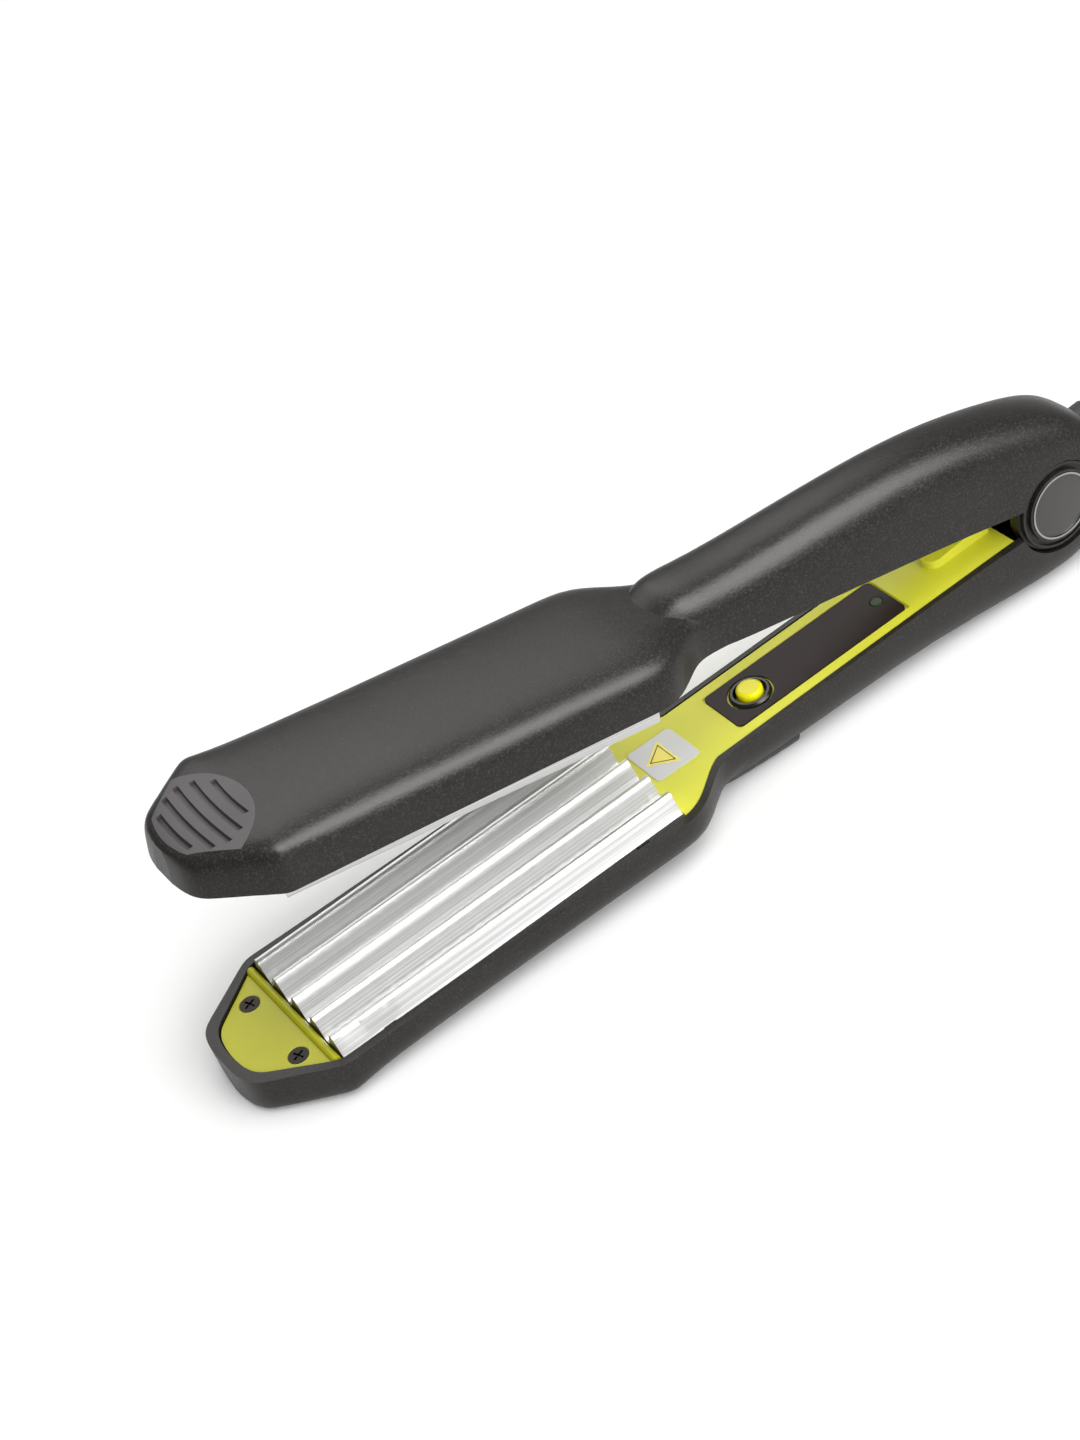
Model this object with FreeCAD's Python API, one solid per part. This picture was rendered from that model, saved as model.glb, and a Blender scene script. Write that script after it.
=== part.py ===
import FreeCAD, Part
import math
import os

# Hair crimper: two hinged arms with meshing corrugated plates, lying on a flat surface.
# Each arm is modelled closed, about the mid plane (z = 0) that both plates mesh on, with the hinge
# axis along Y through the origin and the tip towards -X. The lower arm fills z < 0, the upper arm
# z > 0. "d" is a distance from the hinge axis towards the tip, so x = -d.

V = FreeCAD.Vector

# ---- driving dimensions, millimetres and degrees ----
LOWER_TILT = -2.25      # how far the lower arm's mid plane dips at the tip as it lies at rest
OPENING = 12.5          # opening angle between the arms at rest
HINGE_X = 111.3         # hinge axis in the part's own frame
HINGE_Z = 22.3
WALL = 2.4              # shell wall
FIT_GAP = 0.3           # gap between a liner and its shell
TOP = 6.0               # how far an arm's blank reaches past the mid plane before its rim is cut
HEAD_RIM = [(250.0, 1.05), (112.0, 3.45)]    # (d, depth) of the rim from the mid plane
HANDLE_RIM = [(0.0, 2.75), (-30.0, 3.65)]
LIP_LEAN = 1.3          # the upper handle's front lip leans back this much per mm of depth
LIP_END = 84.0          # and has straightened up at this d
HANDLE_ROOM = 114.0     # the handle is hollow from this d to the rear
HANDLE_THINNER = 1.0    # and its wall is this much thinner than the head's, fading out at the hinge
THIN_FROM = 35.0
THIN_TO = 20.0

PLATE_TIP = 224.9       # the corrugated plate's two ends
PLATE_BACK = 127.0
PLATE_HALF_WIDTH = 21.0
PITCH = 8.75
AMPLITUDE = 2.8
PLATE_GAP = 0.7         # between the two waves when closed
PLATE_BOTTOM = 4.6
LUG_UNDER_RIM = 0.2     # how far the carrier's lugs stand out past the rim
LUG_MIN_DEPTH = 2.4     # but no nearer the mid plane than this
LUG_D = (212.0, 139.0)
LUG_LENGTH = 3.2
LUG_THICK = 0.8
LUG_Y = 20.95
CARRIER_HALF = 21.0
CARRIER_TOP = 4.65      # depths of the carrier's two faces
CARRIER_BOTTOM = 6.2

EAR_R = 12.5            # hinge ears of the upper arm
EAR_IN = 9.2
EAR_OUT = 12.3
EAR_GAP = 0.4           # room beside the ears in the lower arm
POCKET_R = 12.95
BARREL_R = 9.6
BARREL_HALF = 8.7
SPRING_HALF = 4.6
PIN_R = 3.0
CAP_R = 11.7
CAP_DISC_R = 8.5
CAP_RING_R = 9.0
CAP_NECK_R = 9.75
CAP_LEVELS = (0.05, 1.2, 1.75, 1.95)    # heights over the ear: base, face, neck, ring
CAP_GROOVE = 0.7        # width and depth of the cap's rim groove
CAP_SEAT = 0.4          # depth of the seat for the ring and disc
CAP_DOME_R = 60.0

RELIEF_TILT = 3.0       # the cord's strain relief points this far up from the mid plane
SWEEP_SLOT_HALF = 9.2   # slot in the upper shell's rear that clears the strain relief
SWEEP_SLOT_ANGLE = 41.0
SWEEP_SLOT_X = (10.5, 40.0)
REAR_WALL_X = 13.6      # upright wall behind the hinge that holds the strain relief
REAR_WALL = 3.4
NECK_R = 5.1
CLAMP_SCREW_X = 15.3
CLAMP_SCREW_Y = 7.6

SCREW_D = 232.0         # end plate screws
SCREW_Y = 11.6
PANEL = (99.7, 46.2, 7.9)      # d of both ends, half width
BUTTON_D = 90.4
LED_D = 49.8
BUTTON_R = 3.4
BUTTON_HOLE_R = 5.5
PANEL_HOLE_R = 5.95     # leaves a thin ring of the liner in view round the bezel
LED_HOLE_R = 1.8
LABEL = (124.0, 111.0, 6.9)
LINER_SCREW_D = 117.4
BOSS_BORE_R = 1.45
SCREW_HOLE_R = 1.65

PAD_BACK = 219.8        # heat-safe pad at the tip: both ends, and its two corners as (d, y)
PAD_NOSE = 240.6
PAD_CORNERS = [(239.2, 8.4), (230.0, 16.4)]
PAD_THICK = 1.5
PAD_FIT = 0.06
PAD_GROOVES = [(237.1, 7.6), (233.6, 11.6), (230.1, 12.8), (226.6, 11.4), (223.1, 7.8)]
GROOVE_WIDTH = 1.4
GROOVE_DEPTH = 1.1
UPPER_PAD_SHIFT = 1.2    # the upper pad lies this much nearer the tip

BOARD_TOP = -8.0
BOARD_BOTTOM = -9.6

CORD_R = 3.0
HANK_X = 310.0          # middle of the put-away cord, folded into a hank in line with the arms
HANK_HALF_RUN = 38.4    # from its middle to the centre of each end's turns
HANK_INNER = 15.4       # half width of the opening at its ends
HANK_OUTER = 28.6       # half width outside at its ends
HANK_WAIST = 8.0        # how far each side is drawn in at the middle
HANK_HEIGHT = 18.5
HANK_ROUND = 3.0
PLUG_X = 248.0          # the plug lies on the hank's near end
PLUG_SIZE = (34.0, 26.0, 14.0)
PLUG_TAIL = (5.5, 4.2, 16.0)    # radii and length of the plug's tail
PLUG_PIN_R = 2.0
PLUG_PIN_LENGTH = 19.0
PLUG_PIN_Y = 9.5

# Parts inside the arms: distances from the hinge, half widths and depths from the mid plane.
CARRIER_D = (225.0, 127.0)
CARRIER_WINDOW = (214.0, 138.0, 12.0)
HEATER = (211.0, 141.0, 10.0)
HEATER_BOTTOM = 6.9
INSULATOR = (212.5, 139.5, 11.0)
INSULATOR_DEPTHS = (6.95, 7.45)
CLIP_BENDS = [(200.0, 9.9), (190.0, 8.0), (176.0, 7.5), (162.0, 8.0), (152.0, 9.9)]
CLIP_HALF = 7.0
CLIP_THICK = 0.5
BEAD_DEPTH = 8.3
BOARD = (104.0, 41.0, 8.6)
CHIP = (74.0, 62.0, 5.0)
RELAY = (58.0, 48.0, 6.0)
LEAD_ROUTE = [(10.7, 0.6), (9.0, -4.5), (0.0, -11.5), (-22.0, -12.5), (-40.0, -9.0)]
LEAD_R = 0.9
WIRE_R = 0.6            # the hinge spring's wire and coil
COIL_R = 5.0

# How a section's corner is rounded, as shares of its edge radius; and its flat, as a share of width.
CORNER_SIDE = 0.58
CORNER_TOP = 0.52
CORNER_DROP = 0.05
CORNER_REACH = 1.7
FLAT_SHARE = 0.38
MIN_EDGE_R = 1.5

# Stations of an arm's outer skin: (d, half width, depth of the crown's shoulder, edge radius, crown).
HEAD = [
    (76, 12.4, 13.2, 6, 0.3),
    (96, 12.5, 13.6, 6, 0.4),
    (106, 12.9, 13.9, 6, 0.5),
    (111, 14.2, 14.0, 6.5, 0.5),
    (116, 18.4, 14.3, 7.5, 0.5),
    (121, 22.4, 14.6, 8, 0.5),
    (126, 24.3, 14.9, 8.5, 0.5),
    (134, 24.1, 15.0, 8.5, 0.5),
    (160, 24.0, 14.5, 8.5, 0.5),
    (190, 24.0, 14.0, 8.5, 0.5),
    (215, 24.0, 13.6, 8, 0.5),
    (223, 24.1, 13.5, 6.5, 0.4),
]
LOWER_NOSE = [
    (226, 24.1, 13.4, 5.5, 0.3),
    (229.5, 21.7, 13.3, 5, 0.2),
    (236, 17.4, 13.1, 4.5, 0.2),
    (241, 14.2, 12.9, 4.5, 0.1),
    (244.2, 12.0, 12.6, 4.5, 0),
    (245.7, 8.0, 12.2, 4, 0),
    (246.0, 3.4, 11.9, 4, 0),
]
UPPER_NOSE = [
    (225.5, 24.1, 13.3, 5.5, 0.3),
    (228.5, 21.9, 12.8, 5, 0.2),
    (234, 17.8, 12.1, 5, 0.2),
    (238.5, 14.8, 11.3, 5, 0.1),
    (241.4, 12.4, 10.2, 4.5, 0),
    (242.9, 8.4, 9.3, 4, 0),
    (243.3, 3.6, 8.8, 4, 0),
]
END_ZONE = 20.0              # an inset skin's last stations close up over this length
LOWER_HANDLE = [
    (134, 12.4, 11.8, 8, 0.5),
    (124, 12.8, 13.6, 8.5, 0.6),
    (112, 13.0, 15.6, 9, 0.7),
    (100, 13.0, 17.0, 9.5, 0.8),
    (86, 12.9, 17.7, 9.5, 0.8),
    (68, 12.9, 18.0, 9.5, 0.8),
    (50, 12.9, 18.8, 10, 0.9),
    (32, 13.1, 20.2, 10, 0.9),
    (15, 13.9, 21.8, 10, 0.9),
    (2, 14.4, 22.8, 10, 0.9),
    (-8, 14.4, 21.8, 10, 0.9),
    (-15, 13.8, 18.4, 9, 0.8),
    (-20, 12.8, 12.6, 7, 0.5),
    (-22, 12.0, 7.5, 4, 0.2),
]
# Low foot under the handle; the surface cuts it flat, and it ends in a small step at the rear.
REST_FOOT = [
    (136, 10.6, 12.0, 8.5, 0.5),
    (124, 11.0, 14.8, 8.5, 0.5),
    (112, 11.3, 17.6, 8.5, 0.5),
    (100, 11.4, 19.2, 8.5, 0.5),
    (86, 11.4, 20.0, 8.5, 0.5),
]
UPPER_HANDLE = [
    (122, 12.2, 12.2, 8, 0.4),
    (117, 12.5, 13.4, 8, 0.5),
    (113, 12.9, 16.2, 8.5, 0.7),
    (109, 13.1, 17.3, 9, 0.8),
    (99, 13.2, 17.8, 9.5, 0.9),
    (88, 13.2, 18.9, 9.5, 1.0),
    (74, 13.2, 21.0, 10, 1.0),
    (60, 13.2, 22.9, 10, 1.1),
    (44, 13.2, 24.7, 10, 1.1),
    (28, 13.4, 25.2, 10, 1.1),
    (13, 14.0, 23.9, 10, 1.0),
    (0, 14.4, 22.0, 10, 1.0),
    (-9, 14.4, 19.6, 9.5, 1.0),
    (-15, 13.8, 15.6, 8.5, 0.8),
    (-20, 12.8, 9.6, 6, 0.5),
    (-22, 12.0, 6.0, 3, 0.2),
]


def clamped(count):
    """Knots and multiplicities of a clamped cubic with count poles."""
    spans = count - 3
    return list(range(spans + 1)), [4] + [1] * (spans - 1) + [4]


def section_poles(station, side, inset):
    """Poles across one station, from the near top edge round the outside to the far top edge."""
    d, half, depth, radius, crown, lean = station
    w = half - inset
    low = depth - inset
    r = max(radius - inset, MIN_EDGE_R)
    flat = max(w - CORNER_REACH * r, FLAT_SHARE * w)
    near = [
        (-w, -TOP),
        (-w, (low - CORNER_REACH * r) / 2),
        (-w, low - CORNER_SIDE * r),
        (-(w - CORNER_TOP * r), low - CORNER_DROP * r),
        (-flat, low + 0.8 * crown),
    ]
    outline = near + [(0.0, low + 1.2 * crown)] + [(-y, z) for y, z in reversed(near)]
    return [V(-d - lean * (z - depth), y, side * z) for y, z in outline]


def pulled_in(stations, length):
    """The stations with the last one pulled in by a length, and those near it by a part of that."""
    last = stations[-1][0]
    inward = math.copysign(length, stations[0][0] - last)
    placed = []
    for d, *section in stations:
        share = max(0.0, 1.0 - abs(d - last) / END_ZONE)
        placed.append((d + inward * share, *section))
    return placed


def upright(stations):
    """The stations without any lean."""
    return [(*station, 0.0) for station in stations]


def leaning(stations):
    """The stations, leaning by LIP_LEAN at the first and by less towards LIP_END."""
    first = stations[0][0]
    return [(*s, LIP_LEAN * max(0.0, (s[0] - LIP_END) / (first - LIP_END))) for s in stations]


def skinned(stations, side, inset=0.0):
    """Closed solid under a smooth skin along the stations, inset from them and from their last end."""
    rows = [section_poles(s, side, inset) for s in pulled_in(stations, inset)]
    knots_u, mults_u = clamped(len(rows))
    knots_v, mults_v = clamped(len(rows[0]))
    surface = Part.BSplineSurface()
    surface.buildFromPolesMultsKnots(rows, mults_u, mults_v, knots_u, knots_v, False, False, 3, 3)
    skin = surface.toShape().Faces[0]
    u0, u1, v0, v1 = surface.bounds()
    first = surface.uIso(u0).toShape()
    last = surface.uIso(u1).toShape()
    near = surface.vIso(v0).toShape()
    far = surface.vIso(v1).toShape()
    closing_first = Part.makeLine(rows[0][0], rows[0][-1])
    closing_last = Part.makeLine(rows[-1][0], rows[-1][-1])
    loops = [
        [first, closing_first],
        [last, closing_last],
        [near, closing_first, far, closing_last],
    ]
    faces = [skin] + [Part.Face(Part.Wire(Part.__sortEdges__(loop))) for loop in loops]
    shell = Part.makeShell(faces)
    shell.sewShape()
    solid = Part.makeSolid(shell)
    if solid.Volume < 0:
        solid.reverse()
    return solid


def side_prism(points, half_width=60.0):
    """Prism across the arm from a side outline of (d, z) points."""
    ring = [V(-d, -half_width, z) for d, z in points]
    return Part.Face(Part.makePolygon(ring + ring[:1])).extrude(V(0, 2 * half_width, 0))


def plan_prism(points, z0, z1, round_radius=0.0):
    """Prism from a plan outline of (d, y) points, with its upright edges rounded."""
    ring = [V(-d, y, z0) for d, y in points]
    solid = Part.Face(Part.makePolygon(ring + ring[:1])).extrude(V(0, 0, z1 - z0))
    if round_radius:
        corners = [e for e in solid.Edges if abs(e.tangentAt(e.FirstParameter).z) > 0.99]
        solid = solid.makeFillet(round_radius, corners)
    return solid


def block(d0, d1, half, z0, z1):
    """Box between two distances from the hinge, centred across the arm."""
    return Part.makeBox(abs(d1 - d0), 2 * half, abs(z1 - z0), V(-max(d0, d1), -half, min(z0, z1)))


def rod(radius, start, end):
    """Cylinder from one point to another."""
    run = V(*end) - V(*start)
    return Part.makeCylinder(radius, run.Length, V(*start), run)


def across(radius, y0, y1):
    """Cylinder about the hinge axis."""
    return rod(radius, (0, y0, 0), (0, y1, 0))


def rim_depth(d):
    """Depth of the rim from the mid plane at a distance from the hinge."""
    (d0, z0), (d1, z1) = HEAD_RIM if d > HEAD_RIM[1][0] else [HEAD_RIM[1], HANDLE_RIM[0]]
    return z0 + (z1 - z0) * (d - d0) / (d1 - d0)


def layer(side, top, bottom, d0, d1):
    """Slab that follows the rim: from top to bottom below it, between two distances."""
    knee = HEAD_RIM[1][0]
    knees = [d0, knee, d1] if d0 > knee > d1 else [d0, d1]
    upper = [(d, side * (rim_depth(d) + top)) for d in knees]
    lower = [(d, side * (rim_depth(d) + bottom)) for d in reversed(knees)]
    return side_prism(upper + lower)


def above_rim(side):
    """Everything on the mid plane's side of the rim."""
    line = [(260.0, rim_depth(260.0)), HEAD_RIM[1]] + HANDLE_RIM
    outline = [(d, side * z) for d, z in line]
    return side_prism(outline + [(-30.0, -side * 20.0), (260.0, -side * 20.0)])


def head_of(side):
    """Stations of an arm's head with its nose."""
    return upright(HEAD + (UPPER_NOSE if side > 0 else LOWER_NOSE))


def handle_of(side):
    """Stations of an arm's handle; the upper one has a leaning front lip."""
    return leaning(UPPER_HANDLE) if side > 0 else upright(LOWER_HANDLE)


def arm_body(side):
    """Solid outer form of one arm: the head and the handle, and the lower one's foot."""
    form = skinned(head_of(side), side).fuse(skinned(handle_of(side), side))
    if side < 0:
        form = form.fuse(skinned(upright(REST_FOOT), side))
    return form


def handle_room(side):
    """Stations of the handle's hollow, grown by what its wall is thinner than the head's."""
    stations = []
    for d, half, depth, radius, crown, lean in handle_of(side):
        if d < HANDLE_ROOM:
            share = min(max((d - THIN_TO) / (THIN_FROM - THIN_TO), 0.0), 1.0)
            grow = HANDLE_THINNER * share
            stations.append((d, half + grow, depth + grow, radius + grow, crown, lean))
    return stations


def arm_cavity(side, inset):
    """Room inside an arm, inset from its outer form."""
    head = skinned(head_of(side), side, inset)
    return head.fuse(skinned(handle_room(side), side, inset))


def end_boss(side, y):
    """Post inside the head that an end plate screw goes into."""
    top = side * (rim_depth(SCREW_D) + 2.7)
    return rod(3.3, (-SCREW_D, y, top), (-SCREW_D, y, side * 13.0))


def pad_prism(side, grow):
    """Prism of the heat-safe pad's outline, widened by grow."""
    shift = UPPER_PAD_SHIFT if side > 0 else 0.0
    corners = [(d + shift + grow, y + grow) for d, y in PAD_CORNERS]
    front = [V(-d, -y, 0) for d, y in corners]
    back = [V(-d, y, 0) for d, y in reversed(corners)]
    rear_middle = V(-(PAD_BACK + shift - grow), 0, 0)
    nose_middle = V(-(PAD_NOSE + shift + grow), 0, 0)
    edges = [
        Part.makeLine(front[0], front[1]),
        Part.Arc(front[1], rear_middle, back[0]).toShape(),
        Part.makeLine(back[0], back[1]),
        Part.Arc(back[1], nose_middle, front[0]).toShape(),
    ]
    return Part.Face(Part.Wire(edges)).extrude(V(0, 0, side * 40.0))


def pad_room(side, grow):
    """Room for the heat-safe pad, let into an arm's skin."""
    core = skinned(head_of(side), side, PAD_THICK + grow)
    return pad_prism(side, grow).cut(core)


def groove(side, d, half):
    """Outline, drawn upwards, of one curved groove across the pad."""
    inner = [V(-d, -half, 0), V(-d - 0.06 * half, 0, 0), V(-d, half, 0)]
    outer = [p - V(GROOVE_WIDTH, 0, 0) for p in inner]
    edges = [
        Part.Arc(*inner).toShape(),
        Part.makeLine(inner[2], outer[2]),
        Part.Arc(*outer).toShape(),
        Part.makeLine(outer[0], inner[0]),
    ]
    return Part.Face(Part.Wire(Part.__sortEdges__(edges))).extrude(V(0, 0, side * 40.0))


def under_floor():
    """Everything below the surface that the lower arm rests on."""
    line = [(d, floor_line(d)) for d in (270, -40)]
    return side_prism(line + [(-40, -60), (270, -60)])


def tip_pad(side):
    """Heat-safe pad let into the skin at the tip, with curved grooves."""
    shift = UPPER_PAD_SHIFT if side > 0 else 0.0
    pad = arm_body(side).common(pad_room(side, 0.0)).cut(under_floor())
    core = skinned(head_of(side), side, GROOVE_DEPTH)
    for d, half in PAD_GROOVES:
        pad = pad.cut(groove(side, d + shift, half).cut(core))
    return pad


def lug_blocks(side, grow):
    """The carrier's side lugs, two on each side of the plate."""
    lugs = []
    for d in LUG_D:
        depth = max(rim_depth(d) - LUG_UNDER_RIM, LUG_MIN_DEPTH) - grow
        for y in (-LUG_Y, LUG_Y):
            lug = block(d + LUG_LENGTH / 2 + grow, d - LUG_LENGTH / 2 - grow, LUG_THICK / 2,
                        side * depth, side * (CARRIER_TOP + 0.05))
            lugs.append(lug.translated(V(0, y, 0)))
    return lugs


def crimp_plate(side):
    """Corrugated aluminium plate: a sine wave across, the same all along."""
    steps = 8 * int(round(2 * PLATE_HALF_WIDTH / PITCH))
    wave = []
    for i in range(steps + 1):
        y = -PLATE_HALF_WIDTH + 2 * PLATE_HALF_WIDTH * i / steps
        z = side * PLATE_GAP / 2 + AMPLITUDE * math.cos(2 * math.pi * y / PITCH)
        wave.append(V(-PLATE_TIP, y, z))
    crest = Part.BSplineCurve()
    crest.interpolate(wave)
    floor = side * PLATE_BOTTOM
    corners = [V(-PLATE_TIP, PLATE_HALF_WIDTH, floor), V(-PLATE_TIP, -PLATE_HALF_WIDTH, floor)]
    edges = [
        crest.toShape(),
        Part.makeLine(wave[-1], corners[0]),
        Part.makeLine(corners[0], corners[1]),
        Part.makeLine(corners[1], wave[0]),
    ]
    plate = Part.Face(Part.Wire(edges)).extrude(V(PLATE_TIP - PLATE_BACK, 0, 0))
    for lug in lug_blocks(side, 0.15):
        plate = plate.cut(lug)
    return plate


def plate_carrier(side):
    """Frame behind the corrugated plate, with a window for the heater and lugs at its sides."""
    front, back = CARRIER_D
    window_front, window_back, window_half = CARRIER_WINDOW
    frame = block(front, back, CARRIER_HALF, side * CARRIER_TOP, side * CARRIER_BOTTOM)
    window = block(window_front, window_back, window_half, side * PLATE_BOTTOM, side * 7.0)
    frame = frame.cut(window)
    for lug in lug_blocks(side, 0.0):
        frame = frame.fuse(lug)
    return frame.removeSplitter()


def heater(side):
    """Flat heating element against the back of the corrugated plate."""
    return block(*HEATER, side * CARRIER_TOP, side * HEATER_BOTTOM)


def insulator(side):
    """Sheet between the heater and its clip."""
    top, bottom = INSULATOR_DEPTHS
    return block(*INSULATOR, side * top, side * bottom)


def heater_clip(side):
    """Bent spring steel strip that presses the heater against the plate."""
    inner = [(d, side * z) for d, z in CLIP_BENDS]
    outer = [(d, side * (z + CLIP_THICK)) for d, z in reversed(CLIP_BENDS)]
    return side_prism(inner + outer, CLIP_HALF)


def thermistor(side):
    """Glass bead with its two leads."""
    z = side * BEAD_DEPTH
    bead = rod(1.2, (-136.5, -6.0, z), (-131.5, -6.0, z))
    leads = [rod(0.35, (-131.5, y, z), (-116.0, y, z)) for y in (-6.6, -5.4)]
    return bead.fuse(leads)


def end_plate(side):
    """Coloured plate at the tip, with a rolled lip beside the corrugated plate."""
    inner = skinned(head_of(side), side, WALL + FIT_GAP)
    plate = inner.common(layer(side, 0.9, 2.5, 250.0, 225.4))
    lip_z = side * (rim_depth(226.5) + 0.8)
    lip = rod(1.1, (-226.5, -20.6, lip_z), (-226.5, 20.6, lip_z))
    plate = plate.fuse(lip.common(inner)).removeSplitter()
    top = rim_depth(SCREW_D) + 0.9
    for y in (-SCREW_Y, SCREW_Y):
        plate = plate.cut(rod(SCREW_HOLE_R, (-SCREW_D, y, 0), (-SCREW_D, y, side * 9)))
        sink = Part.makeCone(2.75, 1.6, 1.3, V(-SCREW_D, y, side * (top - 0.05)), V(0, 0, side))
        plate = plate.cut(sink)
    return plate


def screw(centre, inward, head_r, shank_r, length):
    """Countersunk cross-head screw; inward is +1 or -1 along Z, from the head's centre."""
    head = Part.makeCone(head_r, shank_r, head_r - shank_r, V(*centre), V(0, 0, inward))
    shank = Part.makeCylinder(shank_r, length, V(*centre), V(0, 0, inward))
    body = head.fuse(shank)
    for turn in (0, 90):
        slot = Part.makeBox(2 * head_r * 0.62, 0.55, 1.0, V(-head_r * 0.62, -0.275, -0.5))
        slot.rotate(V(0, 0, 0), V(0, 0, 1), 20 + turn)
        body = body.cut(slot.translated(V(*centre)))
    return body


def end_screws(side):
    """The two screws that hold an end plate."""
    z = side * (rim_depth(SCREW_D) + 0.95)
    return [screw((-SCREW_D, y, z), side, 2.5, 1.4, 6.5) for y in (-SCREW_Y, SCREW_Y)]


def liner_screw(side):
    """The screw that holds a liner's front end."""
    z = side * (rim_depth(LINER_SCREW_D) + 0.75)
    return screw((-LINER_SCREW_D, 0, z), side, 2.4, 1.4, 6.5)


def liner(side):
    """Coloured inner cover of the handle, following the inside of the shell."""
    inner = arm_cavity(side, WALL + FIT_GAP)
    sheet = inner.common(layer(side, 0.25, 1.9, PLATE_BACK - 0.7, 14.0))
    z = side * (rim_depth(LINER_SCREW_D) + 0.7)
    d = LINER_SCREW_D
    sheet = sheet.cut(rod(SCREW_HOLE_R, (-d, 0, 0), (-d, 0, side * 9)))
    sheet = sheet.cut(Part.makeCone(2.65, 1.6, 1.2, V(-d, 0, z), V(0, 0, side)))
    return sheet.cut(rod(2.65, (-d, 0, z + side * 0.02), (-d, 0, 0)))


def panel_cutter():
    """Bevelled pocket for the control panel in the lower liner."""
    d0, d1, half = PANEL
    top = -(rim_depth((d0 + d1) / 2) - 0.35)
    loops = []
    for grow, z in ((1.3, top + 1.0), (0.0, top - 1.1)):
        ring = [
            V(-d0 - grow, -half - grow, z),
            V(-d1 + grow, -half - grow, z),
            V(-d1 + grow, half + grow, z),
            V(-d0 - grow, half + grow, z),
        ]
        loops.append(Part.makePolygon(ring + ring[:1]))
    return Part.makeLoft(loops, True, True)


def lower_liner():
    """The lower arm's liner, with the control panel's pocket and a rib near the hinge."""
    body = liner(-1).cut(panel_cutter())
    floor = panel_floor()
    body = body.cut(rod(BUTTON_HOLE_R, (-BUTTON_D, 0, 4), (-BUTTON_D, 0, -12)))
    body = body.cut(rod(LED_HOLE_R, (-LED_D, 0, 4), (-LED_D, 0, -12)))
    rib = [(33.5, floor - 0.6), (31.5, floor + 3.2), (15.5, floor + 4.3), (15.5, floor - 0.6)]
    rib_solid = side_prism(rib, 3.4)
    nose = rod(3.4, (-31.0, 0, floor - 0.6), (-31.0, 0, floor + 3.2))
    rib_solid = rib_solid.common(block(31.0, 15.0, 3.4, -20, 20)).fuse(nose)
    return body.fuse(rib_solid).removeSplitter()


def panel_floor():
    """Height of the control panel pocket's floor."""
    d0, d1, _ = PANEL
    return -(rim_depth((d0 + d1) / 2) - 0.35) - 1.1


def control_panel():
    """Thin sheet in the liner's pocket, with holes for the button and the lamp."""
    d0, d1, half = PANEL
    z = panel_floor() + 0.02
    half -= 0.1
    corners = [(d0 - 0.1, -half), (d1 + 0.1, -half), (d1 + 0.1, half), (d0 - 0.1, half)]
    sheet = plan_prism(corners, z, z + 0.5, 1.5)
    sheet = sheet.cut(rod(PANEL_HOLE_R, (-BUTTON_D, 0, 4), (-BUTTON_D, 0, -12)))
    return sheet.cut(rod(LED_HOLE_R, (-LED_D, 0, 4), (-LED_D, 0, -12)))


def top_edges(solid):
    """Level edges at the top of an upright solid."""
    top = solid.BoundBox.ZMax
    return [e for e in solid.Edges if e.BoundBox.ZLength < 0.01 and e.BoundBox.ZMin > top - 0.01]


def button_bezel():
    """Ring round the button, with a chamfered rim and a shallow well."""
    z = panel_floor()
    ring = rod(5.4, (-BUTTON_D, 0, z - 2.4), (-BUTTON_D, 0, z + 1.1))
    ring = ring.makeChamfer(0.5, top_edges(ring))
    well = rod(4.3, (-BUTTON_D, 0, z - 0.6), (-BUTTON_D, 0, z + 2))
    return ring.cut(well).cut(rod(3.5, (-BUTTON_D, 0, z - 4), (-BUTTON_D, 0, z + 2)))


def power_button():
    """Push button: a domed cap on a stem that reaches the switch."""
    z = panel_floor()
    cap = rod(BUTTON_R, (-BUTTON_D, 0, z - 1.6), (-BUTTON_D, 0, z + 2.5))
    cap = cap.makeFillet(1.0, top_edges(cap))
    stem = rod(1.5, (-BUTTON_D, 0, z - 1.85), (-BUTTON_D, 0, z - 1.6))
    return cap.fuse(stem).removeSplitter()


def led_lens():
    """Small lens that the lamp shines through."""
    z = panel_floor()
    flange = rod(1.7, (-LED_D, 0, z - 1.0), (-LED_D, 0, z + 0.7))
    return flange.makeFillet(0.3, top_edges(flange))


def caution_label():
    """Blank label that follows the liner beside the corrugated plate."""
    d0, d1, half = LABEL
    outline = [(d0, -half), (d1, -half), (d1, half), (d0, half)]
    return plan_prism(outline, -8.0, 2.0, 1.2).common(layer(-1, 0.03, 0.23, d0 + 2, d1 - 2))


def hinge_cheeks():
    """The lower arm's two hinge cheeks, with room for the spring between them."""
    cheeks = []
    for y0, y1 in ((-BARREL_HALF, -SPRING_HALF), (SPRING_HALF, BARREL_HALF)):
        foot = Part.makeBox(13, y1 - y0, 21.3, V(-6.5, y0, -21.3))
        cheeks.append(across(BARREL_R, y0, y1).fuse(foot))
    return cheeks


def floor_line(d):
    """The resting surface's height in the arm's own frame, at a distance from the hinge."""
    tilt = math.radians(LOWER_TILT)
    return (-HINGE_Z - d * math.sin(tilt)) / math.cos(tilt)


def relief_frame(shape):
    """Turns a shape built along +X about the hinge axis to the strain relief's direction."""
    turned = shape.copy()
    turned.rotate(V(0, 0, 0), V(0, 1, 0), -RELIEF_TILT)
    return turned


def rear_wall():
    """Upright wall behind the hinge that holds the strain relief's neck."""
    return Part.makeBox(REAR_WALL, 20.0, 20.4, V(REAR_WALL_X, -10.0, -20.0))


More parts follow.
